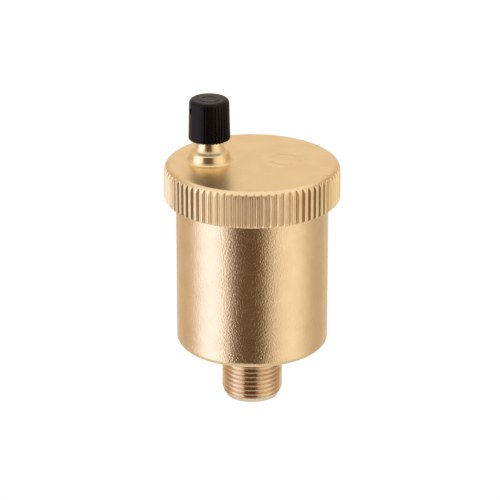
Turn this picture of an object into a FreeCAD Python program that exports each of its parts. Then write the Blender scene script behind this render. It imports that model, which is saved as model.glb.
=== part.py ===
import FreeCAD
import Part
import Sketcher
import math
import os

os.makedirs("parts", exist_ok=True)
doc = FreeCAD.newDocument("AutomaticAirVent")

# Sizes in millimetres. Height 0 is the lower end of the threaded stem, on the axis of the vent.
sizes = {
    # threaded stem, G 3/8 A
    "waterway_radius": 5.25,
    "stem_tip_radius": 7.3,
    "stem_tip_chamfer": 2.0,
    "thread_radius": 8.331,
    "thread_root_radius": 7.475,
    "thread_tool_radius": 8.7,
    "thread_pitch": 1.337,
    "thread_groove_count": 9,
    "first_groove_height": 1.75,
    "groove_root_half": 0.08,
    "groove_mouth_half": 0.79,
    "thread_end_height": 13.3,
    "relief_radius": 7.4,
    "relief_base": 13.8,
    "relief_top": 15.0,
    "relief_mouth_radius": 8.6,
    # body
    "seat_height": 14.5,
    "seat_radius": 11.0,
    "seat_cone_radius": 12.6,
    "rim_height": 16.1,
    "body_radius": 20.84,
    "rim_rounding": 1.85,
    "shoulder_height": 60.0,
    "collar_radius": 20.0,
    "collar_top": 64.3,
    "collar_chamfer": 0.35,
    "chamber_radius": 18.6,
    "chamber_floor": 18.6,
    # cover
    "skirt_base": 58.4,
    "skirt_bore_radius": 21.2,
    "skirt_step": 60.4,
    "cover_thread_radius": 20.05,
    "cover_underside": 65.5,
    "cover_radius": 24.0,
    "cover_top": 68.5,
    "cover_rounding": 2.0,
    "cover_chamfer": 0.45,
    "knurl_count": 76,
    "knurl_root_radius": 23.38,
    "knurl_root_rounding": 0.386,
    "knurl_crest_rounding": 0.386,
    "knurl_mouth_half": 0.92,
    "knurl_tool_radius": 24.7,
    # gasket between body and cover
    "gasket_inner_radius": 18.8,
    "gasket_outer_radius": 19.75,
    "gasket_base": 64.32,
    "gasket_top": 65.48,
    # nozzle on the cover, and the valve seat pressed into it
    "nozzle_x": -11.75,
    "boss_root": 67.5,
    "boss_root_radius": 6.27,
    "boss_top": 71.1,
    "boss_top_radius": 5.3,
    "boss_edge": 0.4,
    "boss_foot": 1.0,
    "neck_base": 71.9,
    "neck_base_radius": 4.2,
    "neck_rounding": 1.0,
    "neck_top": 74.4,
    "neck_top_radius": 3.45,
    "spigot_radius": 3.1,
    "spigot_top": 80.5,
    "spigot_chamfer": 0.35,
    "passage_radius": 1.5,
    "passage_depth": 12.0,
    "nozzle_radius": 4.0,
    "nozzle_shoulder": 70.0,
    "nozzle_bore_depth": 4.5,
    "orifice_radius": 1.0,
    "seat_lip_radius": 1.6,
    "seat_lip_root_radius": 2.0,
    "seat_lip_height": 64.0,
    "nozzle_base": 64.7,
    "ring_groove_radius": 4.9,
    "ring_groove_depth": 1.2,
    "ring_centre_radius": 4.45,
    "ring_wire_radius": 0.45,
    "ring_height": 66.1,
    # cap
    "cap_base": 74.8,
    "cap_base_radius": 5.7,
    "cap_top_radius": 5.42,
    "cap_top": 86.1,
    "cap_rounding": 1.1,
    "cap_base_chamfer": 0.2,
    "cap_thread_radius": 3.15,
    "cap_step": 81.6,
    "cap_cavity_radius": 2.4,
    "cap_cavity_top": 84.4,
    "flute_count": 26,
    "flute_span": 250,
    "first_flute_turn": -125,
    "flute_root_radius": 5.24,
    "flute_tool_radius": 6.2,
    "flute_root_half": 0.12,
    "flute_tool_half": 0.5,
    "flute_length": 10.4,
    "cap_rest_turn": 30.8,
    "cap_hole_radius": 0.8,
    "cap_hole_height": 83.2,
    "cap_hole_length": 8.0,
    "disc_radius": 3.05,
    "disc_base": 80.6,
    "disc_top": 81.5,
    # bracket under the cover
    "bracket_left": -17.3,
    "bracket_right": -8.6,
    "bracket_foot_right": -14.6,
    "bracket_foot": 52.4,
    "bracket_width": 9.2,
    "bracket_gap": 7.2,
    "bracket_plate_underside": 64.7,
    "bracket_shelf_top": 57.0,
    "bracket_shelf_underside": 56.0,
    "bracket_clear_left": -19.0,
    "bracket_clear_right": -7.0,
    "bracket_clear_foot": 50.0,
    "bracket_wing_left": -9.0,
    "bracket_wing_right": -2.6,
    "bracket_half_width": 4.6,
    "bracket_half_width_back": -4.6,
    "bracket_plate_depth": 0.8,
    "pin_slot_half": 0.9,
    "pin_slot_half_back": -0.9,
    "pin_slot_left": -12.65,
    "screw_x": -5.2,
    "screw_y": 2.8,
    "screw_hole_radius": 0.9,
    "screw_hole_depth": 2.0,
    "screw_base": 63.5,
    "screw_head_radius": 1.6,
    "screw_head_height": 1.2,
    "screw_length": 3.9,
    "screw_slot_width": 0.5,
    "screw_slot_depth": 0.5,
    # lever pivot
    "pivot_x": -16.0,
    "pivot_z": 54.0,
    "pivot_radius": 0.8,
    "pivot_length": 10.6,
    "pivot_clip_start": 4.65,
    "pivot_clip_radius": 1.5,
    "clip_thickness": 0.5,
    # lever, drawn level about its pivot, then tilted
    "lever_rest_angle": 7.7,
    "lever_hub_radius": 1.3,
    "lever_hub_bore": 0.85,
    "lever_hub_width": 6.8,
    "lever_plate": 0.6,
    "lever_plate_base": -0.3,
    "lever_half_width": 3.0,
    "lever_half_width_back": -3.0,
    "lever_wide_end": 6.6,
    "lever_tongue_start": 9.4,
    "lever_tongue_half": 1.1,
    "lever_tongue_half_back": -1.1,
    "lever_reach": 16.0,
    "lever_eye_radius": 1.2,
    "lever_eye_bore": 0.75,
    "lever_tongue_width": 2.2,
    "lever_pin_hole_x": 4.27,
    "lever_pin_hole_radius": 1.1,
    # valve pin
    "pin_foot": 51.8,
    "pin_radius": 0.7,
    "pin_collar_base": 54.075,
    "pin_collar_top": 54.675,
    "pin_collar_radius": 1.6,
    "pin_head_base": 61.4,
    "pin_head_top": 62.2,
    "pin_head_radius": 2.2,
    "seal_radius": 1.9,
    "seal_top": 62.8,
    "washer_base": 52.175,
    "washer_top": 52.775,
    # spring under the pin head
    "spring_radius": 1.5,
    "spring_wire_radius": 0.2,
    "spring_start": 57.21,
    "spring_pitch": 0.88,
    "spring_rise": 3.96,
    # float
    "float_radius": 16.4,
    "float_bottom": 22.6,
    "float_bottom_radius": 14.9,
    "float_bevel_height": 24.1,
    "float_joint": 44.0,
    "float_inner_radius": 15.4,
    "float_floor": 23.7,
    "float_floor_radius": 14.4,
    "float_floor_bevel": 24.7,
    "lid_spigot_base": 42.6,
    "lid_spigot_radius": 14.4,
    "lid_top": 45.0,
    # hanger on the float
    "hanger_x": -0.144,
    "hanger_z": 51.856,
    "hanger_base_radius": 3.6,
    "hanger_base_height": 0.8,
    "hanger_ear_half": 1.5,
    "hanger_width": 4.3,
    "hanger_gap": 2.7,
    "hanger_gap_base": 45.8,
    "hanger_gap_top": 56.0,
    "hanger_gap_half": 4.0,
    "hanger_pin_radius": 0.7,
    "hanger_pin_length": 5.5,
    "hanger_clip_start": 2.2,
    "hanger_clip_radius": 1.3,
    "hanger_clip_thickness": 0.4,
}

sheet = doc.addObject("Spreadsheet::Sheet", "Sheet")
for row, (name, number) in enumerate(sizes.items(), start=1):
    sheet.set(f"A{row}", name)
    sheet.set(f"B{row}", str(number))
    sheet.setAlias(f"B{row}", name)
doc.recompute()


def number(term):
    """A named size, or the plain number given."""
    if isinstance(term, str):
        return sizes[term]
    return term


def bind(obj, prop, term):
    """Tie a property to the sheet when the term is a named size."""
    if isinstance(term, str):
        obj.setExpression(prop, f"Sheet.{term}")


def new_body(name):
    body = doc.addObject("PartDesign::Body", name)
    body.Label = name
    return body


def new_sketch(body, role, name, lift=None):
    """An empty sketch on one of the body's own planes, lifted along that plane's normal."""
    sketch = body.newObject("Sketcher::SketchObject", name)
    plane = [item for item in body.Origin.OriginFeatures if item.Role == role][0]
    sketch.AttachmentSupport = [(plane, "")]
    sketch.MapMode = "FlatFace"
    if lift is not None:
        sketch.AttachmentOffset = FreeCAD.Placement(
            FreeCAD.Vector(0, 0, number(lift)), FreeCAD.Rotation()
        )
        bind(sketch, "AttachmentOffset.Base.z", lift)
    return sketch


def place_point(sketch, line, end, across, up):
    """Dimension one point of a sketch from the origin, on the vertical axis where it lies there."""
    if across == 0:
        sketch.addConstraint(Sketcher.Constraint("PointOnObject", line, end, -2))
    else:
        index = sketch.addConstraint(
            Sketcher.Constraint("DistanceX", line, end, number(across))
        )
        bind(sketch, f"Constraints[{index}]", across)
    if up == 0:
        sketch.addConstraint(Sketcher.Constraint("PointOnObject", line, end, -1))
    else:
        index = sketch.addConstraint(
            Sketcher.Constraint("DistanceY", line, end, number(up))
        )
        bind(sketch, f"Constraints[{index}]", up)


def draw_outline(sketch, corners):
    """A closed outline of straight lines through the corners."""
    first = sketch.GeometryCount
    count = len(corners)
    for index in range(count):
        start = corners[index]
        finish = corners[(index + 1) % count]
        begin = FreeCAD.Vector(number(start[0]), number(start[1]), 0)
        end = FreeCAD.Vector(number(finish[0]), number(finish[1]), 0)
        sketch.addGeometry(Part.LineSegment(begin, end), False)
    for index in range(count):
        following = first + (index + 1) % count
        sketch.addConstraint(
            Sketcher.Constraint("Coincident", first + index, 2, following, 1)
        )
    for index, (across, up) in enumerate(corners):
        place_point(sketch, first + index, 1, across, up)


def draw_circle(sketch, across, up, radius):
    centre = FreeCAD.Vector(number(across), number(up), 0)
    index = sketch.addGeometry(
        Part.Circle(centre, FreeCAD.Vector(0, 0, 1), number(radius)), False
    )
    place_point(sketch, index, 3, across, up)
    size = sketch.addConstraint(Sketcher.Constraint("Radius", index, number(radius)))
    bind(sketch, f"Constraints[{size}]", radius)


def revolve(body, name, corners):
    """Turn an outline of (radius, height) corners about the body's own vertical axis."""
    sketch = new_sketch(body, "XZ_Plane", name + "_outline")
    draw_outline(sketch, corners)
    feature = body.newObject("PartDesign::Revolution", name)
    feature.Profile = sketch
    feature.ReferenceAxis = (sketch, ["V_Axis"])
    feature.Angle = 360
    doc.recompute()
    return feature


def pad(body, sketch, name, length, both_ways=False):
    feature = body.newObject("PartDesign::Pad", name)
    feature.Profile = sketch
    feature.Length = number(length)
    bind(feature, "Length", length)
    if both_ways:
        feature.SideType = "Symmetric"
    doc.recompute()
    return feature


def pocket(body, sketch, name, length, both_ways=False, upward=False):
    """Cut along the sketch normal. A sketch cuts against its normal unless told to go upward."""
    feature = body.newObject("PartDesign::Pocket", name)
    feature.Profile = sketch
    feature.Length = number(length)
    bind(feature, "Length", length)
    if both_ways:
        feature.SideType = "Symmetric"
    feature.Reversed = upward
    doc.recompute()
    return feature


def circle_edges(feature, radius, height):
    """Names of the round edges of this radius that lie level at this height."""
    names = []
    for index, edge in enumerate(feature.Shape.Edges, start=1):
        curve = edge.Curve
        if not isinstance(curve, Part.Circle):
            continue
        if abs(curve.Radius - number(radius)) > 1e-4:
            continue
        if abs(curve.Center.z - number(height)) > 1e-4:
            continue
        names.append(f"Edge{index}")
    return names


def round_edges(body, name, base, edges, radius):
    feature = body.newObject("PartDesign::Fillet", name)
    feature.Base = (base, edges)
    feature.Radius = number(radius)
    bind(feature, "Radius", radius)
    doc.recompute()
    return feature


def bevel_edges(body, name, base, edges, size):
    feature = body.newObject("PartDesign::Chamfer", name)
    feature.Base = (base, edges)
    feature.Size = number(size)
    bind(feature, "Size", size)
    doc.recompute()
    return feature


def polar_copies(body, name, original, sketch, count, span=360):
    """Repeat a cut evenly round the sketch's normal, over the given angle."""
    feature = body.newObject("PartDesign::PolarPattern", name)
    feature.Originals = [original]
    feature.Axis = (sketch, ["N_Axis"])
    feature.Angle = number(span)
    bind(feature, "Angle", span)
    feature.Occurrences = number(count)
    bind(feature, "Occurrences", count)
    body.Tip = feature
    doc.recompute()
    return feature


def draw_notch(sketch, corners):
    """A tapered notch that is symmetric about the sketch's horizontal axis."""
    for index in range(4):
        radius, side, half = corners[index]
        next_radius, next_side, next_half = corners[(index + 1) % 4]
        begin = FreeCAD.Vector(sizes[radius], side * sizes[half], 0)
        end = FreeCAD.Vector(sizes[next_radius], next_side * sizes[next_half], 0)
        sketch.addGeometry(Part.LineSegment(begin, end), False)
    for index in range(4):
        sketch.addConstraint(
            Sketcher.Constraint("Coincident", index, 2, (index + 1) % 4, 1)
        )
    for index, (radius, side, half) in enumerate(corners):
        across = sketch.addConstraint(
            Sketcher.Constraint("DistanceX", index, 1, sizes[radius])
        )
        sketch.setExpression(f"Constraints[{across}]", f"Sheet.{radius}")
        up = sketch.addConstraint(
            Sketcher.Constraint("DistanceY", index, 1, side * sizes[half])
        )
        sketch.setExpression(f"Constraints[{up}]", f"{side} * Sheet.{half}")


def draw_rounded_notch(
    sketch, mouth_half, crest_radius, crest_rounding, root_radius, root_rounding, tool_radius
):
    """A valley with a rounded root, straight flanks and rounded lips, symmetric about X."""
    crest = sizes[crest_radius]
    mouth = sizes[mouth_half]
    lip = sizes[crest_rounding]
    root = sizes[root_radius]
    fillet = sizes[root_rounding]
    tool = sizes[tool_radius]
    rise = (crest - lip) - (root + fillet)
    reach = math.hypot(rise, mouth)
    slope = math.asin((lip + fillet) / reach) + math.atan2(rise, mouth)
    up = FreeCAD.Vector(0, 0, 1)
    lip_low = FreeCAD.Vector(crest - lip, -mouth, 0)
    lip_high = FreeCAD.Vector(crest - lip, mouth, 0)
    middle = FreeCAD.Vector(root + fillet, 0, 0)

    def on_lip(side):
        return FreeCAD.Vector(
            crest - lip + lip * math.cos(slope), side * (mouth - lip * math.sin(slope)), 0
        )

    def on_root(side):
        return FreeCAD.Vector(
            root + fillet - fillet * math.cos(slope), side * fillet * math.sin(slope), 0
        )

    corner_low = FreeCAD.Vector(tool, -mouth, 0)
    corner_high = FreeCAD.Vector(tool, mouth, 0)
    mouth_low = FreeCAD.Vector(crest, -mouth, 0)
    mouth_high = FreeCAD.Vector(crest, mouth, 0)
    line_in = sketch.addGeometry(Part.LineSegment(corner_low, mouth_low), False)
    arc_low = sketch.addGeometry(Part.ArcOfCircle(Part.Circle(lip_low, up, lip), 0, slope), False)
    flank_low = sketch.addGeometry(Part.LineSegment(on_lip(-1), on_root(-1)), False)
    arc_root = sketch.addGeometry(
        Part.ArcOfCircle(Part.Circle(middle, up, fillet), math.pi - slope, math.pi + slope), False
    )
    flank_high = sketch.addGeometry(Part.LineSegment(on_root(1), on_lip(1)), False)
    arc_high = sketch.addGeometry(
        Part.ArcOfCircle(Part.Circle(lip_high, up, lip), -slope, 0), False
    )
    line_out = sketch.addGeometry(Part.LineSegment(mouth_high, corner_high), False)
    closing = sketch.addGeometry(Part.LineSegment(corner_high, corner_low), False)
    sketch.addConstraint(Sketcher.Constraint("Coincident", line_in, 2, arc_low, 1))
    sketch.addConstraint(Sketcher.Constraint("Tangent", arc_low, 2, flank_low, 1))
    sketch.addConstraint(Sketcher.Constraint("Tangent", flank_low, 2, arc_root, 2))
    sketch.addConstraint(Sketcher.Constraint("Tangent", arc_root, 1, flank_high, 1))
    sketch.addConstraint(Sketcher.Constraint("Tangent", flank_high, 2, arc_high, 1))
    sketch.addConstraint(Sketcher.Constraint("Coincident", arc_high, 2, line_out, 1))
    sketch.addConstraint(Sketcher.Constraint("Coincident", line_out, 2, closing, 1))
    sketch.addConstraint(Sketcher.Constraint("Coincident", closing, 2, line_in, 1))
    measures = [
        ("Radius", (arc_low,), lip, crest_rounding),
        ("Radius", (arc_high,), lip, crest_rounding),
        ("Radius", (arc_root,), fillet, root_rounding),
        ("DistanceX", (arc_low, 3), crest - lip, f"{crest_radius} - Sheet.{crest_rounding}"),
        ("DistanceX", (arc_high, 3), crest - lip, f"{crest_radius} - Sheet.{crest_rounding}"),
        ("DistanceX", (arc_root, 3), root + fillet, f"{root_radius} + Sheet.{root_rounding}"),
        ("DistanceX", (closing, 1), tool, tool_radius),
        ("DistanceX", (closing, 2), tool, tool_radius),
        ("DistanceY", (arc_high, 3), mouth, mouth_half),
        ("DistanceY", (closing, 1), mouth, mouth_half),
        ("DistanceY", (line_out, 1), mouth, mouth_half),
    ]
    for kind, places, size, name in measures:
        index = sketch.addConstraint(Sketcher.Constraint(kind, *places, size))
        sketch.setExpression(f"Constraints[{index}]", f"Sheet.{name}")
    for line, end in ((arc_low, 3), (closing, 2), (line_in, 2)):
        index = sketch.addConstraint(Sketcher.Constraint("DistanceY", line, end, -mouth))
        sketch.setExpression(f"Constraints[{index}]", f"-Sheet.{mouth_half}")
    sketch.addConstraint(Sketcher.Constraint("PointOnObject", arc_root, 3, -1))


def stand_at_nozzle(body):
    """Put a piece that was turned about its own axis on the axis of the nozzle."""
    body.Placement = FreeCAD.Placement(
        FreeCAD.Vector(sizes["nozzle_x"], 0, 0), FreeCAD.Rotation()
    )
    body.setExpression("Placement.Base.x", "Sheet.nozzle_x")


def turned_piece(name, corners):
    """A piece made by turning alone."""
    body = new_body(name)
    revolve(body, name + "_turned", corners)
    return body


def cross_ring(name, outer, inner, thickness, x, z, start, side):
    """A flat ring whose axis lies along Y, with its near face at start on the given side."""
    disc = doc.addObject("Part::Cylinder", name + "_disc")
    hole = doc.addObject("Part::Cylinder", name + "_hole")
    for solid, radius in ((disc, outer), (hole, inner)):
        solid.setExpression("Radius", f"Sheet.{radius}")
        solid.setExpression("Height", f"Sheet.{thickness}")
        solid.Placement = FreeCAD.Placement(
            FreeCAD.Vector(number(x), side * number(start), number(z)),
            FreeCAD.Rotation(FreeCAD.Vector(1, 0, 0), -90 * side),
        )
        solid.setExpression("Placement.Base.x", f"Sheet.{x}")
        solid.setExpression("Placement.Base.y", f"{side} * Sheet.{start}")
        solid.setExpression("Placement.Base.z", f"Sheet.{z}")
    ring = doc.addObject("Part::Cut", name)
    ring.Base = disc
    ring.Tool = hole
    return ring


# Body: threaded stem, sealing seat, cylindrical float chamber and the collar that takes the cover.
body_shell = new_body("body_shell")
shell = revolve(
    body_shell,
    "shell_turned",
    [
        ("waterway_radius", 0),
        ("stem_tip_radius", 0),
        ("thread_radius", "stem_tip_chamfer"),
        ("thread_radius", "thread_end_height"),
        ("relief_radius", "relief_base"),
        ("relief_radius", "relief_top"),
        ("relief_mouth_radius", "seat_height"),
        ("seat_radius", "seat_height"),
        ("seat_cone_radius", "rim_height"),
        ("body_radius", "rim_height"),
        ("body_radius", "shoulder_height"),
        ("collar_radius", "shoulder_height"),
        ("collar_radius", "collar_top"),
        ("chamber_radius", "collar_top"),
        ("chamber_radius", "chamber_floor"),
        ("waterway_radius", "chamber_floor"),
    ],
)
rim = round_edges(
    body_shell,
    "rim_edge",
    shell,
    circle_edges(shell, "body_radius", "rim_height"),
    "rim_rounding",
)
bevel_edges(
    body_shell,
    "collar_edge",
    rim,
    circle_edges(rim, "collar_radius", "collar_top"),
    "collar_chamfer",
)

# The thread is a row of parallel ridges at the standard pitch.
ridge_sketch = new_sketch(body_shell, "XZ_Plane", "thread_groove_outline")
first_groove = sizes["first_groove_height"]
groove_corners = [
    ("thread_root_radius", -1, "groove_root_half"),
    ("thread_tool_radius", -1, "groove_mouth_half"),
    ("thread_tool_radius", 1, "groove_mouth_half"),
    ("thread_root_radius", 1, "groove_root_half"),
]
for index in range(4):
    radius, side, half = groove_corners[index]
    next_radius, next_side, next_half = groove_corners[(index + 1) % 4]
    begin = FreeCAD.Vector(sizes[radius], first_groove + side * sizes[half], 0)
    end = FreeCAD.Vector(
        sizes[next_radius], first_groove + next_side * sizes[next_half], 0
    )
    ridge_sketch.addGeometry(Part.LineSegment(begin, end), False)
for index in range(4):
    ridge_sketch.addConstraint(
        Sketcher.Constraint("Coincident", index, 2, (index + 1) % 4, 1)
    )
for index, (radius, side, half) in enumerate(groove_corners):
    across = ridge_sketch.addConstraint(
        Sketcher.Constraint("DistanceX", index, 1, sizes[radius])
    )
    ridge_sketch.setExpression(f"Constraints[{across}]", f"Sheet.{radius}")
    up = ridge_sketch.addConstraint(
        Sketcher.Constraint("DistanceY", index, 1, first_groove + side * sizes[half])
    )
    ridge_sketch.setExpression(
        f"Constraints[{up}]", f"Sheet.first_groove_height + {side} * Sheet.{half}"
    )
groove = body_shell.newObject("PartDesign::Groove", "thread_groove")
groove.Profile = ridge_sketch
groove.ReferenceAxis = (ridge_sketch, ["V_Axis"])
groove.Angle = 360
doc.recompute()
ridges = body_shell.newObject("PartDesign::LinearPattern", "thread_ridges")
ridges.Originals = [groove]
ridges.Direction = (ridge_sketch, ["V_Axis"])
ridges.Occurrences = sizes["thread_groove_count"]
ridges.Length = (sizes["thread_groove_count"] - 1) * sizes["thread_pitch"]
ridges.setExpression("Occurrences", "Sheet.thread_groove_count")
ridges.setExpression("Length", "(Sheet.thread_groove_count - 1) * Sheet.thread_pitch")
body_shell.Tip = ridges
doc.recompute()

# Cover: screwed over the collar, with a knurled edge and an eccentric flared nozzle.
cover = new_body("cover")
cover_turned = revolve(
    cover,
    "cover_turned",
    [
        ("skirt_bore_radius", "skirt_base"),
        ("cover_radius", "skirt_base"),
        ("cover_radius", "cover_top"),
        (0, "cover_top"),
        (0, "cover_underside"),
        ("cover_thread_radius", "cover_underside"),
        ("cover_thread_radius", "skirt_step"),
        ("skirt_bore_radius", "skirt_step"),
    ],
)
cover_rounded = round_edges(
    cover,
    "cover_top_edge",
    cover_turned,
    circle_edges(cover_turned, "cover_radius", "cover_top"),
    "cover_rounding",
)
cover_bevelled = bevel_edges(
    cover,
    "cover_lower_edge",
    cover_rounded,
    circle_edges(cover_rounded, "cover_radius", "skirt_base"),
    "cover_chamfer",
)
nozzle_sketch = new_sketch(cover, "XZ_Plane", "nozzle_outline")
nozzle_sketch.AttachmentOffset.Base = FreeCAD.Vector(sizes["nozzle_x"], 0, 0)
nozzle_sketch.setExpression("AttachmentOffset.Base.x", "Sheet.nozzle_x")
draw_outline(
    nozzle_sketch,
    [
        (0, "boss_root"),
        ("boss_root_radius", "boss_root"),
        ("boss_top_radius", "boss_top"),
        ("neck_base_radius", "neck_base"),
        ("neck_top_radius", "neck_top"),
        ("spigot_radius", "neck_top"),
        ("spigot_radius", "spigot_top"),
        (0, "spigot_top"),
    ],
)
nozzle = cover.newObject("PartDesign::Revolution", "nozzle_turned")
nozzle.Profile = nozzle_sketch
nozzle.ReferenceAxis = (nozzle_sketch, ["V_Axis"])
nozzle.Angle = 360
doc.recompute()
boss_slope = (sizes["boss_top_radius"] - sizes["boss_root_radius"]) / (
    sizes["boss_top"] - sizes["boss_root"]
)
foot_radius = sizes["boss_root_radius"] + boss_slope * (sizes["cover_top"] - sizes["boss_root"])
footed = round_edges(
    cover, "boss_foot_edge", nozzle, circle_edges(nozzle, foot_radius, "cover_top"), "boss_foot"
)
necked = round_edges(
    cover,
    "neck_base_edge",
    footed,
    circle_edges(footed, "neck_base_radius", "neck_base"),
    "neck_rounding",
)
edged = round_edges(
    cover, "boss_top_edge", necked, circle_edges(necked, "boss_top_radius", "boss_top"), "boss_edge"
)
bevel_edges(
    cover,
    "spigot_edge",
    edged,
    circle_edges(edged, "spigot_radius", "spigot_top"),
    "spigot_chamfer",
)
bore_sketch = new_sketch(cover, "XY_Plane", "nozzle_bore_outline", "nozzle_shoulder")
draw_circle(bore_sketch, "nozzle_x", 0, "nozzle_radius")
pocket(cover, bore_sketch, "nozzle_bore", "nozzle_bore_depth")
passage_sketch = new_sketch(cover, "XY_Plane", "passage_outline", "nozzle_shoulder")
draw_circle(passage_sketch, "nozzle_x", 0, "passage_radius")
pocket(cover, passage_sketch, "passage", "passage_depth", upward=True)
ring_sketch = new_sketch(cover, "XY_Plane", "ring_groove_outline", "cover_underside")
draw_circle(ring_sketch, "nozzle_x", 0, "ring_groove_radius")
pocket(cover, ring_sketch, "ring_groove", "ring_groove_depth", upward=True)
screw_sketch = new_sketch(cover, "XY_Plane", "screw_hole_outline", "cover_underside")
draw_circle(screw_sketch, "screw_x", "screw_y", "screw_hole_radius")
screw_holes = pocket(cover, screw_sketch, "screw_hole", "screw_hole_depth", upward=True)
mirror_holes = cover.newObject("PartDesign::Mirrored", "screw_holes")
mirror_holes.Originals = [screw_holes]
mirror_holes.MirrorPlane = (screw_sketch, ["H_Axis"])
cover.Tip = mirror_holes
doc.recompute()
knurl_sketch = new_sketch(cover, "XY_Plane", "knurl_outline")

draw_rounded_notch(
    knurl_sketch,
    "knurl_mouth_half",
    "cover_radius",
    "knurl_crest_rounding",
    "knurl_root_radius",
    "knurl_root_rounding",
    "knurl_tool_radius",
)
notch = cover.newObject("PartDesign::Pocket", "knurl_notch")
notch.Profile = knurl_sketch
notch.Type = "ThroughAll"
notch.Reversed = True
doc.recompute()
polar_copies(cover, "knurl", notch, knurl_sketch, "knurl_count")

# Flat gasket between the collar and the cover.
turned_piece(
    "cover_gasket",
    [
        ("gasket_inner_radius", "gasket_base"),
        ("gasket_outer_radius", "gasket_base"),
        ("gasket_outer_radius", "gasket_top"),
        ("gasket_inner_radius", "gasket_top"),
    ],
)

# Valve seat: pressed into the cover from below, with a raised lip round its orifice.
valve_seat = turned_piece(
    "valve_seat",
    [
        ("orifice_radius", "seat_lip_height"),
        ("seat_lip_radius", "seat_lip_height"),
        ("seat_lip_root_radius", "nozzle_base"),
        ("nozzle_radius", "nozzle_base"),
        ("nozzle_radius", "nozzle_shoulder"),
        ("orifice_radius", "nozzle_shoulder"),
    ],
)
stand_at_nozzle(valve_seat)

# Sealing ring round the valve seat.
seat_oring = new_body("seat_oring")
oring_sketch = new_sketch(seat_oring, "XZ_Plane", "oring_section")
draw_circle(oring_sketch, "ring_centre_radius", "ring_height", "ring_wire_radius")
oring = seat_oring.newObject("PartDesign::Revolution", "oring_turned")
oring.Profile = oring_sketch
oring.ReferenceAxis = (oring_sketch, ["V_Axis"])
oring.Angle = 360
doc.recompute()
stand_at_nozzle(seat_oring)

# Cap: fluted except on the side with its vent hole, which opens above the disc.
vent_cap = new_body("vent_cap")
cap_turned = revolve(
    vent_cap,
    "cap_turned",
    [
        ("cap_thread_radius", "cap_base"),
        ("cap_base_radius", "cap_base"),
        ("cap_top_radius", "cap_top"),
        (0, "cap_top"),
        (0, "cap_cavity_top"),
        ("cap_cavity_radius", "cap_cavity_top"),
        ("cap_cavity_radius", "cap_step"),
        ("cap_thread_radius", "cap_step"),
    ],
)
cap_rounded = round_edges(
    vent_cap,
    "cap_top_edge",
    cap_turned,
    circle_edges(cap_turned, "cap_top_radius", "cap_top"),
    "cap_rounding",
)
bevel_edges(
    vent_cap,
    "cap_lower_edge",
    cap_rounded,
    circle_edges(cap_rounded, "cap_base_radius", "cap_base"),
    "cap_base_chamfer",
)
hole_sketch = new_sketch(vent_cap, "YZ_Plane", "cap_hole_outline")
draw_circle(hole_sketch, 0, "cap_hole_height", "cap_hole_radius")
pocket(vent_cap, hole_sketch, "cap_hole", "cap_hole_length")
flute_sketch = new_sketch(vent_cap, "XY_Plane", "flute_outline", "cap_base")
flute_sketch.AttachmentOffset.Rotation = FreeCAD.Rotation(
    FreeCAD.Vector(0, 0, 1), sizes["first_flute_turn"]
)
draw_notch(
    flute_sketch,
    [
        ("flute_root_radius", -1, "flute_root_half"),
        ("flute_tool_radius", -1, "flute_tool_half"),
        ("flute_tool_radius", 1, "flute_tool_half"),
        ("flute_root_radius", 1, "flute_root_half"),
    ],
)
flute = pocket(vent_cap, flute_sketch, "flute", "flute_length", upward=True)
polar_copies(vent_cap, "flutes", flute, flute_sketch, "flute_count", "flute_span")
stand_at_nozzle(vent_cap)
vent_cap.Placement.Rotation = FreeCAD.Rotation(
    FreeCAD.Vector(0, 0, 1), sizes["cap_rest_turn"]
)

# Porous disc inside the cap, over the end of the nozzle.
vent_disc = turned_piece(
    "vent_disc",
    [(0, "disc_base"), ("disc_radius", "disc_base"), ("disc_radius", "disc_top"), (0, "disc_top")],
)
stand_at_nozzle(vent_disc)

# Bracket: a cage below the cover that guides the valve pin and carries the lever's pivot.
valve_bracket = new_body("valve_bracket")
side_sketch = new_sketch(valve_bracket, "XZ_Plane", "bracket_side")
draw_outline(
    side_sketch,
    [
        ("bracket_left", "bracket_foot"),
        ("bracket_foot_right", "bracket_foot"),
        ("bracket_right", "bracket_shelf_underside"),
        ("bracket_right", "cover_underside"),
        ("bracket_left", "cover_underside"),
    ],
)
pad(valve_bracket, side_sketch, "bracket_block", "bracket_width", both_ways=True)
upper_window = new_sketch(valve_bracket, "XZ_Plane", "upper_window_outline")
draw_outline(
    upper_window,
    [
        ("bracket_clear_left", "bracket_shelf_top"),
        ("bracket_clear_right", "bracket_shelf_top"),
        ("bracket_clear_right", "bracket_plate_underside"),
        ("bracket_clear_left", "bracket_plate_underside"),
    ],
)
pocket(valve_bracket, upper_window, "upper_window", "bracket_gap", both_ways=True)
lower_window = new_sketch(valve_bracket, "XZ_Plane", "lower_window_outline")
draw_outline(
    lower_window,
    [
        ("bracket_clear_left", "bracket_clear_foot"),
        ("bracket_clear_right", "bracket_clear_foot"),
        ("bracket_clear_right", "bracket_shelf_underside"),
        ("bracket_clear_left", "bracket_shelf_underside"),
    ],
)
pocket(valve_bracket, lower_window, "lower_window", "bracket_gap", both_ways=True)
wing_sketch = new_sketch(valve_bracket, "XY_Plane", "wing_outline", "bracket_plate_underside")
draw_outline(
    wing_sketch,
    [
        ("bracket_wing_left", "bracket_half_width_back"),
        ("bracket_wing_right", "bracket_half_width_back"),
        ("bracket_wing_right", "bracket_half_width"),
        ("bracket_wing_left", "bracket_half_width"),
    ],
)
pad(valve_bracket, wing_sketch, "wing", "bracket_plate_depth")
plate_holes = new_sketch(valve_bracket, "XY_Plane", "plate_holes_outline", "cover_underside")
draw_circle(plate_holes, "nozzle_x", 0, "nozzle_radius")
pocket(valve_bracket, plate_holes, "nozzle_clearance", "bracket_plate_depth")
wing_hole = new_sketch(valve_bracket, "XY_Plane", "wing_hole_outline", "cover_underside")
draw_circle(wing_hole, "screw_x", "screw_y", "screw_hole_radius")
wing_pocket = pocket(valve_bracket, wing_hole, "wing_hole", "bracket_plate_depth")
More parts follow.
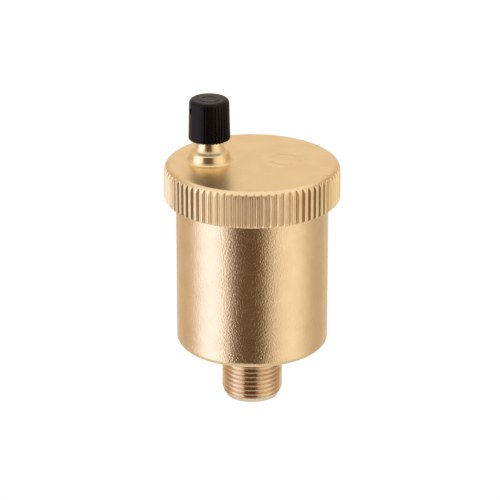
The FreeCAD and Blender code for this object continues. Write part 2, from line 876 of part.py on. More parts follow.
wing_mirror = valve_bracket.newObject("PartDesign::Mirrored", "wing_holes")
wing_mirror.Originals = [wing_pocket]
wing_mirror.MirrorPlane = (wing_hole, ["H_Axis"])
valve_bracket.Tip = wing_mirror
doc.recompute()
slot_sketch = new_sketch(valve_bracket, "XY_Plane", "pin_slot_outline", "bracket_shelf_top")
draw_outline(
    slot_sketch,
    [
        ("pin_slot_left", "pin_slot_half_back"),
        ("bracket_clear_right", "pin_slot_half_back"),
        ("bracket_clear_right", "pin_slot_half"),
        ("pin_slot_left", "pin_slot_half"),
    ],
)
pocket(valve_bracket, slot_sketch, "pin_slot", 1.0)
pivot_hole = new_sketch(valve_bracket, "XZ_Plane", "pivot_hole_outline")
draw_circle(pivot_hole, "pivot_x", "pivot_z", "pivot_radius")
pocket(valve_bracket, pivot_hole, "pivot_hole", "pivot_length", both_ways=True)


def screw(name, side):
    """A slotted cheese-head screw, driven upward into the cover."""
    head = doc.addObject("Part::Cylinder", name + "_head")
    head.setExpression("Radius", "Sheet.screw_head_radius")
    head.setExpression("Height", "Sheet.screw_head_height")
    shank = doc.addObject("Part::Cylinder", name + "_shank")
    shank.setExpression("Radius", "Sheet.screw_hole_radius")
    shank.setExpression("Height", "Sheet.screw_length")
    for solid in (head, shank):
        solid.setExpression("Placement.Base.x", "Sheet.screw_x")
        solid.setExpression("Placement.Base.y", f"{side} * Sheet.screw_y")
        solid.setExpression("Placement.Base.z", "Sheet.screw_base")
    blank = doc.addObject("Part::Fuse", name + "_blank")
    blank.Base = head
    blank.Tool = shank
    slot = doc.addObject("Part::Box", name + "_slot")
    slot.setExpression("Length", "4 * Sheet.screw_head_radius")
    slot.setExpression("Width", "Sheet.screw_slot_width")
    slot.setExpression("Height", "2 * Sheet.screw_slot_depth")
    slot.setExpression("Placement.Base.x", "Sheet.screw_x - 2 * Sheet.screw_head_radius")
    slot.setExpression(
        "Placement.Base.y", f"{side} * Sheet.screw_y - Sheet.screw_slot_width / 2"
    )
    slot.setExpression("Placement.Base.z", "Sheet.screw_base - Sheet.screw_slot_depth")
    finished = doc.addObject("Part::Cut", name)
    finished.Base = blank
    finished.Tool = slot
    return finished


bracket_screws = doc.addObject("Part::Compound", "bracket_screws")
bracket_screws.Label = "bracket_screws"
bracket_screws.Links = [screw("screw_left", 1), screw("screw_right", -1)]

# Pivot pin of the lever and its retaining rings.
pivot_pin = new_body("pivot_pin")
pivot_sketch = new_sketch(pivot_pin, "XZ_Plane", "pivot_section")
draw_circle(pivot_sketch, "pivot_x", "pivot_z", "pivot_radius")
pad(pivot_pin, pivot_sketch, "pivot_rod", "pivot_length", both_ways=True)
pivot_clips = doc.addObject("Part::Compound", "pivot_clips")
pivot_clips.Label = "pivot_clips"
pivot_clips.Links = [
    cross_ring(
        f"pivot_clip_{word}",
        "pivot_clip_radius",
        "pivot_radius",
        "clip_thickness",
        "pivot_x",
        "pivot_z",
        "pivot_clip_start",
        side,
    )
    for word, side in (("left", 1), ("right", -1))
]

# Lever: hub on the pivot, plate with the hole for the valve pin, tongue with the eye for the float.
lever = new_body("lever")
hub_sketch = new_sketch(lever, "XZ_Plane", "hub_section")
draw_circle(hub_sketch, 0, 0, "lever_hub_radius")
pad(lever, hub_sketch, "hub", "lever_hub_width", both_ways=True)
plate_sketch = new_sketch(lever, "XY_Plane", "plate_outline", "lever_plate_base")
draw_outline(
    plate_sketch,
    [
        (0, "lever_half_width_back"),
        ("lever_wide_end", "lever_half_width_back"),
        ("lever_tongue_start", "lever_tongue_half_back"),
        ("lever_reach", "lever_tongue_half_back"),
        ("lever_reach", "lever_tongue_half"),
        ("lever_tongue_start", "lever_tongue_half"),
        ("lever_wide_end", "lever_half_width"),
        (0, "lever_half_width"),
    ],
)
pad(lever, plate_sketch, "plate", "lever_plate")
eye_sketch = new_sketch(lever, "XZ_Plane", "eye_section")
draw_circle(eye_sketch, "lever_reach", 0, "lever_eye_radius")
pad(lever, eye_sketch, "eye", "lever_tongue_width", both_ways=True)
eye_bore = new_sketch(lever, "XZ_Plane", "eye_bore_section")
draw_circle(eye_bore, "lever_reach", 0, "lever_eye_bore")
pocket(lever, eye_bore, "eye_bore", "lever_hub_width", both_ways=True)
hub_bore = new_sketch(lever, "XZ_Plane", "hub_bore_section")
draw_circle(hub_bore, 0, 0, "lever_hub_bore")
pocket(lever, hub_bore, "hub_bore", "pivot_length", both_ways=True)
pin_hole = new_sketch(lever, "XY_Plane", "pin_hole_outline")
draw_circle(pin_hole, "lever_pin_hole_x", 0, "lever_pin_hole_radius")
pocket(lever, pin_hole, "pin_hole", "lever_hub_radius", both_ways=True)
lever.Placement = FreeCAD.Placement(
    FreeCAD.Vector(sizes["pivot_x"], 0, sizes["pivot_z"]),
    FreeCAD.Rotation(FreeCAD.Vector(0, 1, 0), sizes["lever_rest_angle"]),
)
lever.setExpression("Placement.Base.x", "Sheet.pivot_x")
lever.setExpression("Placement.Base.z", "Sheet.pivot_z")

# Valve pin, its seal and the washer that keeps the lever on it.
valve_pin = turned_piece(
    "valve_pin",
    [
        (0, "pin_foot"),
        ("pin_radius", "pin_foot"),
        ("pin_radius", "pin_collar_base"),
        ("pin_collar_radius", "pin_collar_base"),
        ("pin_collar_radius", "pin_collar_top"),
        ("pin_radius", "pin_collar_top"),
        ("pin_radius", "pin_head_base"),
        ("pin_head_radius", "pin_head_base"),
        ("pin_head_radius", "pin_head_top"),
        (0, "pin_head_top"),
    ],
)
stand_at_nozzle(valve_pin)
valve_seal = turned_piece(
    "valve_seal",
    [(0, "pin_head_top"), ("seal_radius", "pin_head_top"), ("seal_radius", "seal_top"), (0, "seal_top")],
)
stand_at_nozzle(valve_seal)
pin_washer = turned_piece(
    "pin_washer",
    [
        ("pin_radius", "washer_base"),
        ("pin_collar_radius", "washer_base"),
        ("pin_collar_radius", "washer_top"),
        ("pin_radius", "washer_top"),
    ],
)
stand_at_nozzle(pin_washer)

# Spring between the bracket's shelf and the pin head.
valve_spring = new_body("valve_spring")
wire_sketch = new_sketch(valve_spring, "XZ_Plane", "wire_section")
draw_circle(wire_sketch, "spring_radius", "spring_start", "spring_wire_radius")
coil = valve_spring.newObject("PartDesign::AdditiveHelix", "coil")
coil.Profile = wire_sketch
coil.ReferenceAxis = (wire_sketch, ["V_Axis"])
coil.Mode = "pitch-height-angle"
coil.Pitch = sizes["spring_pitch"]
coil.Height = sizes["spring_rise"]
coil.setExpression("Pitch", "Sheet.spring_pitch")
coil.setExpression("Height", "Sheet.spring_rise")
doc.recompute()
stand_at_nozzle(valve_spring)

# Float: a sealed cup and lid that hang from the lever's eye.
turned_piece(
    "float_cup",
    [
        (0, "float_bottom"),
        ("float_bottom_radius", "float_bottom"),
        ("float_radius", "float_bevel_height"),
        ("float_radius", "float_joint"),
        ("float_inner_radius", "float_joint"),
        ("float_inner_radius", "float_floor_bevel"),
        ("float_floor_radius", "float_floor"),
        (0, "float_floor"),
    ],
)
turned_piece(
    "float_lid",
    [
        ("lid_spigot_radius", "lid_spigot_base"),
        ("float_inner_radius", "lid_spigot_base"),
        ("float_inner_radius", "float_joint"),
        ("float_radius", "float_joint"),
        ("float_radius", "lid_top"),
        (0, "lid_top"),
        (0, "float_joint"),
        ("lid_spigot_radius", "float_joint"),
    ],
)

# Hanger: a forked strap on the lid, with a cross pin through the lever's eye.
float_hanger = new_body("float_hanger")
base_sketch = new_sketch(float_hanger, "XY_Plane", "hanger_base_outline", "lid_top")
draw_circle(base_sketch, 0, 0, "hanger_base_radius")
pad(float_hanger, base_sketch, "hanger_base", "hanger_base_height")
ear_sketch = new_sketch(float_hanger, "XZ_Plane", "ear_outline")
draw_outline(
    ear_sketch,
    [
        (-sizes["hanger_ear_half"] + sizes["hanger_x"], "lid_top"),
        (sizes["hanger_ear_half"] + sizes["hanger_x"], "lid_top"),
        (sizes["hanger_ear_half"] + sizes["hanger_x"], "hanger_z"),
        (-sizes["hanger_ear_half"] + sizes["hanger_x"], "hanger_z"),
    ],
)
pad(float_hanger, ear_sketch, "ears", "hanger_width", both_ways=True)
ear_round = new_sketch(float_hanger, "XZ_Plane", "ear_round_outline")
draw_circle(ear_round, "hanger_x", "hanger_z", "hanger_ear_half")
pad(float_hanger, ear_round, "ear_ends", "hanger_width", both_ways=True)
gap_sketch = new_sketch(float_hanger, "XZ_Plane", "hanger_gap_outline")
draw_outline(
    gap_sketch,
    [
        (-sizes["hanger_gap_half"], "hanger_gap_base"),
        ("hanger_gap_half", "hanger_gap_base"),
        ("hanger_gap_half", "hanger_gap_top"),
        (-sizes["hanger_gap_half"], "hanger_gap_top"),
    ],
)
pocket(float_hanger, gap_sketch, "hanger_fork", "hanger_gap", both_ways=True)
ear_bore = new_sketch(float_hanger, "XZ_Plane", "ear_bore_outline")
draw_circle(ear_bore, "hanger_x", "hanger_z", "hanger_pin_radius")
pocket(float_hanger, ear_bore, "ear_bore", "pivot_length", both_ways=True)
hanger_pin = new_body("hanger_pin")
hanger_pin_sketch = new_sketch(hanger_pin, "XZ_Plane", "hanger_pin_section")
draw_circle(hanger_pin_sketch, "hanger_x", "hanger_z", "hanger_pin_radius")
pad(hanger_pin, hanger_pin_sketch, "hanger_rod", "hanger_pin_length", both_ways=True)
hanger_clips = doc.addObject("Part::Compound", "hanger_clips")
hanger_clips.Label = "hanger_clips"
hanger_clips.Links = [
    cross_ring(
        f"hanger_clip_{word}",
        "hanger_clip_radius",
        "hanger_pin_radius",
        "hanger_clip_thickness",
        "hanger_x",
        "hanger_z",
        "hanger_clip_start",
        side,
    )
    for word, side in (("left", 1), ("right", -1))
]
doc.recompute()

# Every piece, checked and then written out under its own name.
nodes = [
    "body_shell",
    "cover",
    "cover_gasket",
    "valve_seat",
    "seat_oring",
    "vent_cap",
    "vent_disc",
    "valve_bracket",
    "bracket_screws",
    "pivot_pin",
    "pivot_clips",
    "lever",
    "valve_pin",
    "valve_seal",
    "pin_washer",
    "valve_spring",
    "float_cup",
    "float_lid",
    "float_hanger",
    "hanger_pin",
    "hanger_clips",
]
for obj in doc.Objects:
    for word in ("Invalid", "Error"):
        if word in obj.State:
            raise RuntimeError(f"{obj.Name} is {word}")
for node in nodes:
    piece = doc.getObject(node)
    shape = piece.Shape
    if shape.isNull() or not shape.isValid():
        raise RuntimeError(f"{node} has no valid shape")
    box = shape.optimalBoundingBox(False)
    print(
        f"{node}: {len(shape.Solids)} solid, {shape.Volume:.1f} mm3,",
        f"z {box.ZMin:.3f} to {box.ZMax:.3f}, x {box.XMin:.3f} to {box.XMax:.3f}",
    )
    shape.exportStep(f"parts/{node}.step")
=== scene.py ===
import math

import bpy
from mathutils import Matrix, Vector

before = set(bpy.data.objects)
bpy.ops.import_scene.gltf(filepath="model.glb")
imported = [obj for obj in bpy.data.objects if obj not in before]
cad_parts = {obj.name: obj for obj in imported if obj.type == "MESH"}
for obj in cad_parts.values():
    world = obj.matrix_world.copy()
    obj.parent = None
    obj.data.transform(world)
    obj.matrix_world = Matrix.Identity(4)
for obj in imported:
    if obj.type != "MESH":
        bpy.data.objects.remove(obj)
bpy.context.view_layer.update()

# Places on the vent, in metres from the foot of the stem. A pair is where one finish fades into the next.
NOZZLE_AXIS = (-0.01175, 0.0)
THREAD_PITCH = 0.001337
FIRST_CREST = 0.0024185
BODY_START = (0.0154, 0.0160)
COVER_EDGE_START = (0.0674, 0.0680)
COVER_TOP_START = (0.0682, 0.0685)
NOZZLE_START = (0.0685, 0.0687)
NOZZLE_FOOT_END = (0.0690, 0.0698)
FLARE_START = (0.0708, 0.0711)
FLARE_END = (0.0721, 0.0728)
CAP_TOP_START = (0.0855, 0.0857)

# Plain rings on the cover and the cap, in metres. A line is its solid half width, then its faded half width.
COVER_RING_CENTRE = (0.0086, 0.0027)
COVER_RING_RADIUS = 0.0041
COVER_RING_LINE = (0.0002, 0.0009)
COVER_RING_DEPTH = 0.00012
CAP_RING_RADIUS = 0.0023
CAP_RING_LINE = (0.0002, 0.0007)
CAP_RING_DEPTH = 0.0002

# Depths of the surface texture, and the radii that sharp edges are softened by, in metres.
COARSE_GRAIN = 0.000062
SHOT_GRAIN = 0.000024
FINE_GRAIN = 0.000012
COVER_FINE_GRAIN = 0.000008
COVER_SHOT_GRAIN = 0.000006
TOOL_MARKS = 0.000004
DRAWN_MARKS = 0.000006
CREST_ROLL = 0.00012
PRESSED_EDGE = 0.00015
THREAD_EDGE = 0.00026
TURNED_EDGE = 0.0001
STEEL_EDGE = 0.00006

# Roughness of each finish, smoothest and roughest.
BLASTED_ROUGHNESS = (0.16, 0.23)
WEAR_ROUGHNESS = (-0.02, 0.02)
STEM_ROUGHNESS = (0.10, 0.18)
TOP_ROUGHNESS = (0.28, 0.35)
EDGE_ROUGHNESS = (0.20, 0.26)
KNURL_ROUGHNESS = (0.29, 0.37)
NOZZLE_ROUGHNESS = (0.17, 0.25)
SEAT_ROUGHNESS = (0.14, 0.22)
STEEL_ROUGHNESS = (0.20, 0.34)
FLARE_DULLING = 0.18
FOOT_DULLING = 0.20

WHITE = (1.0, 1.0, 1.0, 1.0)
LIGHT_BRASS = (0.93, 0.70, 0.40, 1.0)
DEEP_BRASS = (0.88, 0.63, 0.34, 1.0)
GOLD_BRASS = (0.99, 0.76, 0.40, 1.0)
OLD_GOLD_BRASS = (0.95, 0.70, 0.35, 1.0)
PALE_BRASS = (0.91, 0.74, 0.52, 1.0)
TAN_BRASS = (0.80, 0.62, 0.42, 1.0)
DARK_STEEL = (0.50, 0.50, 0.49, 1.0)
BRIGHT_STEEL = (0.66, 0.65, 0.63, 1.0)


def new_tree(name):
    """An empty node material, its tree and its one shader."""
    material = bpy.data.materials.new(name)
    material.use_nodes = True
    tree = material.node_tree
    tree.nodes.clear()
    output = tree.nodes.new("ShaderNodeOutputMaterial")
    shader = tree.nodes.new("ShaderNodeBsdfPrincipled")
    tree.links.new(shader.outputs["BSDF"], output.inputs["Surface"])
    return material, tree, shader


def put(tree, value, socket):
    """Feeds a socket with a number, a colour or another node's output."""
    if isinstance(value, bpy.types.NodeSocket):
        tree.links.new(value, socket)
    else:
        socket.default_value = value


def maths(tree, operation, first, second=0.0):
    node = tree.nodes.new("ShaderNodeMath")
    node.operation = operation
    put(tree, first, node.inputs[0])
    put(tree, second, node.inputs[1])
    return node.outputs[0]


def place(tree):
    """The piece's own coordinates, in metres, as at rest."""
    return tree.nodes.new("ShaderNodeTexCoord").outputs["Object"]


def split(tree, vector):
    node = tree.nodes.new("ShaderNodeSeparateXYZ")
    put(tree, vector, node.inputs[0])
    return node.outputs["X"], node.outputs["Y"], node.outputs["Z"]


def height_of(tree, where):
    return split(tree, where)[2]


def stretch(tree, vector, across, along, up):
    node = tree.nodes.new("ShaderNodeVectorMath")
    node.operation = "MULTIPLY"
    put(tree, vector, node.inputs[0])
    node.inputs[1].default_value = (across, along, up)
    return node.outputs[0]


def noise(tree, vector, scale, detail=3.0, roughness=0.6, distortion=0.0):
    node = tree.nodes.new("ShaderNodeTexNoise")
    put(tree, vector, node.inputs["Vector"])
    node.inputs["Scale"].default_value = scale
    node.inputs["Detail"].default_value = detail
    node.inputs["Roughness"].default_value = roughness
    node.inputs["Distortion"].default_value = distortion
    return node.outputs["Fac"]


def pits(tree, vector, scale):
    """Rounded cells, as left by shot or by a cut grain."""
    node = tree.nodes.new("ShaderNodeTexVoronoi")
    put(tree, vector, node.inputs["Vector"])
    node.inputs["Scale"].default_value = scale
    return node.outputs["Distance"]


def tool_lines(tree, where):
    """Fine lines round the axis, as a lathe leaves them."""
    return noise(tree, stretch(tree, where, 60.0, 60.0, 8000.0), 1.0, 2.0, 0.5)


def remap(tree, value, low, high, to_low, to_high, smooth=False):
    node = tree.nodes.new("ShaderNodeMapRange")
    node.interpolation_type = "SMOOTHSTEP" if smooth else "LINEAR"
    put(tree, value, node.inputs["Value"])
    put(tree, low, node.inputs["From Min"])
    put(tree, high, node.inputs["From Max"])
    put(tree, to_low, node.inputs["To Min"])
    put(tree, to_high, node.inputs["To Max"])
    return node.outputs["Result"]


def rising(tree, value, limits):
    """0 below the first limit, 1 above the second."""
    return remap(tree, value, limits[0], limits[1], 0.0, 1.0, True)


def falling(tree, value, limits):
    """1 below the first limit, 0 above the second."""
    return remap(tree, value, limits[0], limits[1], 1.0, 0.0, True)


def spread(tree, texture, limits):
    """The middle range of a texture, spread between two numbers."""
    return remap(tree, texture, 0.3, 0.7, limits[0], limits[1])


def between(tree, amount, first, second):
    return remap(tree, amount, 0.0, 1.0, first, second)


def blend_colour(tree, amount, first, second):
    node = tree.nodes.new("ShaderNodeMix")
    node.data_type = "RGBA"
    put(tree, amount, node.inputs["Factor"])
    put(tree, first, node.inputs[6])
    put(tree, second, node.inputs[7])
    return node.outputs[2]


def mixed_normal(tree, amount, first, second):
    node = tree.nodes.new("ShaderNodeMix")
    node.data_type = "VECTOR"
    put(tree, amount, node.inputs["Factor"])
    tree.links.new(first, node.inputs[4])
    tree.links.new(second, node.inputs[5])
    return node.outputs[1]


def bump(tree, height, distance, under):
    node = tree.nodes.new("ShaderNodeBump")
    put(tree, height, node.inputs["Height"])
    node.inputs["Strength"].default_value = 1.0
    node.inputs["Distance"].default_value = distance
    tree.links.new(under, node.inputs["Normal"])
    return node.outputs["Normal"]


def softened(tree, radius):
    """A normal that rolls over sharp edges, as a broken edge does."""
    node = tree.nodes.new("ShaderNodeBevel")
    node.samples = 4
    node.inputs["Radius"].default_value = radius
    return node.outputs["Normal"]


def ring_line(tree, where, centre, radius, line):
    """1 on a circle round an upright axis, fading to 0 beside it."""
    across, along, up = split(tree, where)
    x = maths(tree, "SUBTRACT", across, centre[0])
    y = maths(tree, "SUBTRACT", along, centre[1])
    squares = maths(tree, "ADD", maths(tree, "MULTIPLY", x, x), maths(tree, "MULTIPLY", y, y))
    away = maths(tree, "SUBTRACT", maths(tree, "SQRT", squares), radius)
    return falling(tree, maths(tree, "ABSOLUTE", away), line)


def mottled(tree, cloud, fine, share, first, second):
    """Two colours mixed by a cloud and a finer texture, the cloud having the given share."""
    cloud = maths(tree, "MULTIPLY", cloud, share)
    fine = maths(tree, "MULTIPLY", fine, 1.0 - share)
    amount = remap(tree, maths(tree, "ADD", cloud, fine), 0.35, 0.65, 0.0, 1.0)
    return blend_colour(tree, amount, first, second)


def brass_colour(tree, where, fine, light, deep):
    return mottled(tree, noise(tree, where, 180.0, 4.0, 0.6), fine, 0.7, deep, light)


def finish_brass(tree, shader, colour, roughness, normal):
    shader.inputs["Metallic"].default_value = 1.0
    put(tree, colour, shader.inputs["Base Color"])
    put(tree, roughness, shader.inputs["Roughness"])
    put(tree, normal, shader.inputs["Normal"])


def blasted_finish(tree, where, fine):
    """Roughness and normal of hot-pressed brass after blasting."""
    coarse = noise(tree, stretch(tree, where, 1.0, 1.0, 0.8), 2600.0, 2.0, 0.5, 0.4)
    wear = noise(tree, stretch(tree, where, 300.0, 300.0, 90.0), 1.0, 3.0, 0.6)
    normal = bump(tree, coarse, COARSE_GRAIN, softened(tree, PRESSED_EDGE))
    normal = bump(tree, pits(tree, where, 2000.0), SHOT_GRAIN, normal)
    normal = bump(tree, fine, FINE_GRAIN, normal)
    worn = spread(tree, wear, WEAR_ROUGHNESS)
    return maths(tree, "ADD", spread(tree, fine, BLASTED_ROUGHNESS), worn), normal


def threaded_finish(tree, where):
    """Roughness and normal of the stem, whose shading rolls over each crest of the thread."""
    lines = tool_lines(tree, where)
    up = maths(tree, "SUBTRACT", height_of(tree, where), FIRST_CREST)
    wave = maths(tree, "COSINE", maths(tree, "MULTIPLY", up, 2.0 * math.pi / THREAD_PITCH))
    normal = bump(tree, lines, TOOL_MARKS, softened(tree, THREAD_EDGE))
    normal = bump(tree, maths(tree, "MULTIPLY", wave, 0.5), CREST_ROLL, normal)
    return spread(tree, lines, STEM_ROUGHNESS), normal


def body_brass_material():
    """A soft coarse grain on the body. The stem below it is turned and screw cut, so it is brighter."""
    material, tree, shader = new_tree("body_brass")
    where = place(tree)
    body = rising(tree, height_of(tree, where), BODY_START)
    fine = noise(tree, where, 4200.0, 3.0, 0.6)
    grain_roughness, grain_normal = blasted_finish(tree, where, fine)
    cut_roughness, cut_normal = threaded_finish(tree, where)
    grained = brass_colour(tree, where, fine, LIGHT_BRASS, DEEP_BRASS)
    cut = brass_colour(tree, where, fine, PALE_BRASS, TAN_BRASS)
    finish_brass(
        tree,
        shader,
        blend_colour(tree, body, cut, grained),
        between(tree, body, cut_roughness, grain_roughness),
        mixed_normal(tree, body, cut_normal, grain_normal),
    )
    return material


def cover_ring(tree, where, flat):
    """A worn plain ring on the flat top."""
    worn = remap(tree, noise(tree, where, 420.0, 2.0, 0.5), 0.40, 0.56, 0.15, 1.0, True)
    ring = ring_line(tree, where, COVER_RING_CENTRE, COVER_RING_RADIUS, COVER_RING_LINE)
    return maths(tree, "MULTIPLY", maths(tree, "MULTIPLY", ring, worn), flat)


def nozzle_roughness(tree, height, lines):
    """Turned, but duller at the foot and in the flare under the neck."""
    started = rising(tree, height, FLARE_START)
    flare = maths(tree, "MULTIPLY", started, falling(tree, height, FLARE_END))
    foot = falling(tree, height, NOZZLE_FOOT_END)
    roughness = spread(tree, lines, NOZZLE_ROUGHNESS)
    roughness = maths(tree, "ADD", roughness, maths(tree, "MULTIPLY", flare, FLARE_DULLING))
    return maths(tree, "ADD", roughness, maths(tree, "MULTIPLY", foot, FOOT_DULLING))


def cover_brass_material():
    """A dull even top, a brighter rounded edge, a dull golden knurl and a turned nozzle."""
    material, tree, shader = new_tree("cover_brass")
    where = place(tree)
    height = height_of(tree, where)
    edge = rising(tree, height, COVER_EDGE_START)
    flat = rising(tree, height, COVER_TOP_START)
    nozzle = rising(tree, height, NOZZLE_START)
    fine = noise(tree, where, 3600.0, 3.0, 0.65)
    lines = tool_lines(tree, where)
    normal = bump(tree, fine, COVER_FINE_GRAIN, softened(tree, PRESSED_EDGE))
    normal = bump(tree, pits(tree, where, 2000.0), COVER_SHOT_GRAIN, normal)
    normal = bump(tree, cover_ring(tree, where, flat), COVER_RING_DEPTH, normal)
    turned = bump(tree, lines, TOOL_MARKS, softened(tree, TURNED_EDGE))
    knurl_roughness = spread(tree, fine, KNURL_ROUGHNESS)
    roughness = between(tree, edge, knurl_roughness, spread(tree, fine, EDGE_ROUGHNESS))
    roughness = between(tree, flat, roughness, spread(tree, fine, TOP_ROUGHNESS))
    roughness = between(tree, nozzle, roughness, nozzle_roughness(tree, height, lines))
    smooth = brass_colour(tree, where, fine, LIGHT_BRASS, DEEP_BRASS)
    golden = brass_colour(tree, where, fine, GOLD_BRASS, OLD_GOLD_BRASS)
    colour = blend_colour(tree, edge, golden, smooth)
    colour = blend_colour(tree, nozzle, colour, golden)
    finish_brass(tree, shader, colour, roughness, mixed_normal(tree, nozzle, normal, turned))
    return material


def seat_brass_material():
    """Small turned pieces."""
    material, tree, shader = new_tree("seat_brass")
    where = place(tree)
    fine = noise(tree, where, 3000.0, 3.0, 0.65)
    finish_brass(
        tree,
        shader,
        brass_colour(tree, where, fine, LIGHT_BRASS, DEEP_BRASS),
        spread(tree, fine, SEAT_ROUGHNESS),
        bump(tree, tool_lines(tree, where), TOOL_MARKS, softened(tree, TURNED_EDGE)),
    )
    return material


def steel_material(name):
    """Stainless steel, drawn along its length."""
    material, tree, shader = new_tree(name)
    where = place(tree)
    drawn = noise(tree, stretch(tree, where, 500.0, 4000.0, 4000.0), 1.0, 3.0, 0.6)
    cloud = noise(tree, where, 300.0, 3.0, 0.5)
    shader.inputs["Metallic"].default_value = 1.0
    put(tree, blend_colour(tree, cloud, DARK_STEEL, BRIGHT_STEEL), shader.inputs["Base Color"])
    put(tree, spread(tree, drawn, STEEL_ROUGHNESS), shader.inputs["Roughness"])
    put(tree, bump(tree, drawn, DRAWN_MARKS, softened(tree, STEEL_EDGE)), shader.inputs["Normal"])
    return material


def moulded(name, dark, light, roughness, grain, depth, edge, specular=0.5, tint=WHITE, ringed=False):
    """Plastic, rubber or fibre: a soft cloud under a fine grain of the given scale and depth."""
    material, tree, shader = new_tree(name)
    where = place(tree)
    soft = noise(tree, where, 260.0, 4.0, 0.55)
    fine = noise(tree, where, grain, 3.0, 0.6)
    normal = bump(tree, fine, depth, softened(tree, edge))
    normal = bump(tree, soft, depth * 2.0, normal)
    if ringed:
        ring = ring_line(tree, where, NOZZLE_AXIS, CAP_RING_RADIUS, CAP_RING_LINE)
        on_top = rising(tree, height_of(tree, where), CAP_TOP_START)
        normal = bump(tree, maths(tree, "MULTIPLY", ring, on_top), CAP_RING_DEPTH, normal)
    put(tree, mottled(tree, soft, fine, 0.6, dark, light), shader.inputs["Base Color"])
    put(tree, spread(tree, fine, roughness), shader.inputs["Roughness"])
    put(tree, normal, shader.inputs["Normal"])
    shader.inputs["Specular IOR Level"].default_value = specular
    shader.inputs["Specular Tint"].default_value = tint
    return material


body_brass = body_brass_material()
cover_brass = cover_brass_material()
seat_brass = seat_brass_material()
stainless = steel_material("stainless")
cap_plastic = moulded(
    "cap_plastic",
    dark=(0.0042, 0.0030, 0.0032, 1.0),
    light=(0.0075, 0.0056, 0.0058, 1.0),
    roughness=(0.30, 0.42),
    grain=3200.0,
    depth=0.000006,
    edge=0.00012,
    specular=0.2,
    tint=(1.0, 0.76, 0.60, 1.0),
    ringed=True,
)
seal_rubber = moulded(
    "seal_rubber",
    dark=(0.012, 0.012, 0.013, 1.0),
    light=(0.024, 0.024, 0.025, 1.0),
    roughness=(0.60, 0.75),
    grain=2500.0,
    depth=0.000010,
    edge=0.00008,
    specular=0.35,
)
bracket_plastic = moulded(
    "bracket_plastic",
    dark=(0.045, 0.046, 0.050, 1.0),
    light=(0.070, 0.071, 0.075, 1.0),
    roughness=(0.42, 0.55),
    grain=2400.0,
    depth=0.000008,
    edge=0.00010,
)
float_plastic = moulded(
    "float_plastic",
    dark=(0.70, 0.70, 0.65, 1.0),
    light=(0.78, 0.78, 0.73, 1.0),
    roughness=(0.32, 0.42),
    grain=1800.0,
    depth=0.000006,
    edge=0.00015,
)
disc_fibre = moulded(
    "disc_fibre",
    dark=(0.42, 0.36, 0.26, 1.0),
    light=(0.58, 0.51, 0.38, 1.0),
    roughness=(0.80, 0.95),
    grain=2200.0,
    depth=0.000030,
    edge=0.00008,
    specular=0.2,
)

finishes = {
    "body_shell": body_brass,
    "cover": cover_brass,
    "cover_gasket": seal_rubber,
    "valve_seat": seat_brass,
    "seat_oring": seal_rubber,
    "vent_cap": cap_plastic,
    "vent_disc": disc_fibre,
    "valve_bracket": bracket_plastic,
    "bracket_screws": stainless,
    "pivot_pin": stainless,
    "pivot_clips": stainless,
    "lever": stainless,
    "valve_pin": seat_brass,
    "valve_seal": seal_rubber,
    "pin_washer": stainless,
    "valve_spring": stainless,
    "float_cup": float_plastic,
    "float_lid": float_plastic,
    "float_hanger": stainless,
    "hanger_pin": stainless,
    "hanger_clips": stainless,
}
for node_name, finish in finishes.items():
    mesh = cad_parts[node_name].data
    mesh.materials.clear()
    mesh.materials.append(finish)

FLOOR_SIZE = 6.0
BACKDROP_STRENGTH = 1.02


def add_floor():
    """A white floor that only the camera sees, level with the foot of the stem."""
    bpy.ops.mesh.primitive_plane_add(size=FLOOR_SIZE, location=(0.0, 0.0, 0.0))
    floor = bpy.context.object
    floor.name = "floor"
    material = bpy.data.materials.new("floor_white")
    material.use_nodes = True
    tree = material.node_tree
    tree.nodes.clear()
    output = tree.nodes.new("ShaderNodeOutputMaterial")
    glow = tree.nodes.new("ShaderNodeEmission")
    cloud = noise(tree, place(tree), 3.0, 2.0, 0.5)
    put(tree, blend_colour(tree, cloud, WHITE, (0.995, 0.995, 0.995, 1.0)), glow.inputs["Color"])
    glow.inputs["Strength"].default_value = BACKDROP_STRENGTH
    tree.links.new(glow.outputs["Emission"], output.inputs["Surface"])
    floor.data.materials.append(material)
    floor.visible_diffuse = False
    floor.visible_glossy = False
    floor.visible_transmission = False
    floor.visible_shadow = False
    return floor


floor = add_floor()

# Studio: light round the horizon, counted from the camera, left negative, as (degrees, (red, green, blue)).
# A tall cool softbox stands to the left, a broad warmer one to the right, and black card behind the camera.
ROUND = (
    (-180, (0.87, 0.79, 0.66)),
    (-150, (0.72, 0.61, 0.51)),
    (-125, (0.63, 0.53, 0.46)),
    (-112, (0.64, 0.54, 0.48)),
    (-102, (0.71, 0.60, 0.53)),
    (-94, (0.92, 0.92, 1.00)),
    (-86, (1.12, 1.20, 1.62)),
    (-70, (1.25, 1.42, 2.12)),
    (-50, (1.18, 1.30, 1.82)),
    (-38, (1.05, 1.03, 1.10)),
    (-33, (0.21, 0.15, 0.10)),
    (-28, (0.17, 0.11, 0.08)),
    (-10, (0.12, 0.075, 0.058)),
    (8, (0.11, 0.068, 0.048)),
    (16, (0.15, 0.10, 0.075)),
    (24, (0.52, 0.45, 0.41)),
    (33, (0.80, 0.74, 0.71)),
    (45, (0.96, 0.92, 0.93)),
    (65, (1.04, 1.01, 1.02)),
    (80, (0.95, 0.91, 0.89)),
    (94, (0.73, 0.67, 0.63)),
    (105, (0.61, 0.54, 0.49)),
    (120, (0.58, 0.49, 0.42)),
    (140, (0.67, 0.58, 0.48)),
    (160, (0.78, 0.70, 0.60)),
    (180, (0.87, 0.79, 0.66)),
)
BRIGHTEST = 2.2
OVERHEAD = (1.02, 1.04, 1.09, 1.0)
UNDERNEATH = (0.75, 0.735, 0.71, 1.0)
CAMERA_TURN = math.radians(8.35)


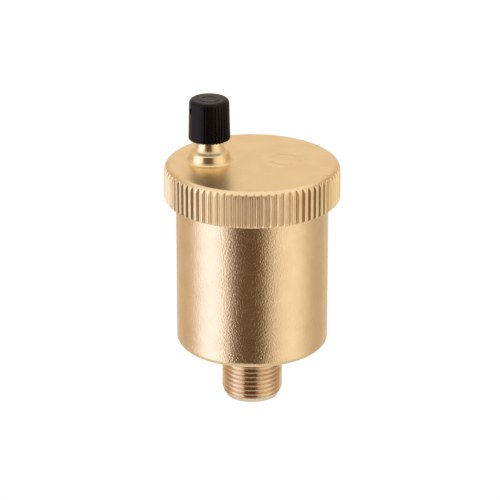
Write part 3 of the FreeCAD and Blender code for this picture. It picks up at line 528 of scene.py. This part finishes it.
def horizon_light(sky, x, y):
    """Colour of the studio in each direction round the upright axis."""
    bearing = maths(sky, "ARCTAN2", x, maths(sky, "MULTIPLY", y, -1.0))
    ramp = sky.nodes.new("ShaderNodeValToRGB")
    put(sky, remap(sky, bearing, -math.pi, math.pi, 0.0, 1.0), ramp.inputs[0])
    ramp.color_ramp.interpolation = "EASE"
    stops = ramp.color_ramp.elements
    stops[0].position = 0.0
    stops[1].position = 1.0
    for degrees, light in ROUND[1:-1]:
        stops.new((degrees + 180) / 360)
    for stop, (degrees, light) in zip(stops, ROUND):
        stop.color = (light[0] / BRIGHTEST, light[1] / BRIGHTEST, light[2] / BRIGHTEST, 1.0)
    return stretch(sky, ramp.outputs[0], BRIGHTEST, BRIGHTEST, BRIGHTEST)


def add_studio():
    """Studio light all round, and a plain white backdrop that only the camera sees."""
    world = bpy.data.worlds.new("studio")
    bpy.context.scene.world = world
    world.use_nodes = True
    sky = world.node_tree
    sky.nodes.clear()
    output = sky.nodes.new("ShaderNodeOutputWorld")
    turn = sky.nodes.new("ShaderNodeVectorRotate")
    turn.rotation_type = "Z_AXIS"
    turn.inputs["Angle"].default_value = -CAMERA_TURN
    put(sky, sky.nodes.new("ShaderNodeTexCoord").outputs["Generated"], turn.inputs["Vector"])
    x, y, z = split(sky, turn.outputs[0])
    glow = blend_colour(sky, rising(sky, z, (0.55, 0.85)), horizon_light(sky, x, y), OVERHEAD)
    glow = blend_colour(sky, falling(sky, z, (-0.80, -0.60)), glow, UNDERNEATH)
    lit = sky.nodes.new("ShaderNodeBackground")
    put(sky, glow, lit.inputs["Color"])
    lit.inputs["Strength"].default_value = 1.0
    seen = sky.nodes.new("ShaderNodeBackground")
    seen.inputs["Color"].default_value = WHITE
    seen.inputs["Strength"].default_value = BACKDROP_STRENGTH
    choose = sky.nodes.new("ShaderNodeMixShader")
    put(sky, sky.nodes.new("ShaderNodeLightPath").outputs["Is Camera Ray"], choose.inputs[0])
    sky.links.new(lit.outputs[0], choose.inputs[1])
    sky.links.new(seen.outputs[0], choose.inputs[2])
    sky.links.new(choose.outputs[0], output.inputs["Surface"])


add_studio()

# Camera, in metres.
CAMERA_DISTANCE = 0.7284
CAMERA_HEIGHT = 0.3392
AIM_HEIGHT = 0.0427
AIM_LEFT = 0.0006

lens = bpy.data.cameras.new("camera")
lens.sensor_width = 36.0
lens.lens = 205.8
lens.clip_start = 0.05
lens.clip_end = 20.0
camera = bpy.data.objects.new("camera", lens)
bpy.context.scene.collection.objects.link(camera)
bpy.context.scene.camera = camera
sine = math.sin(CAMERA_TURN)
cosine = math.cos(CAMERA_TURN)
camera.location = (CAMERA_DISTANCE * sine, -CAMERA_DISTANCE * cosine, CAMERA_HEIGHT)
aim = Vector((0.0, 0.0, AIM_HEIGHT)) - Vector((cosine, sine, 0.0)) * AIM_LEFT
camera.rotation_mode = "QUATERNION"
camera.rotation_quaternion = (aim - camera.location).to_track_quat("-Z", "Y")

bpy.context.scene.view_settings.view_transform = "Standard"
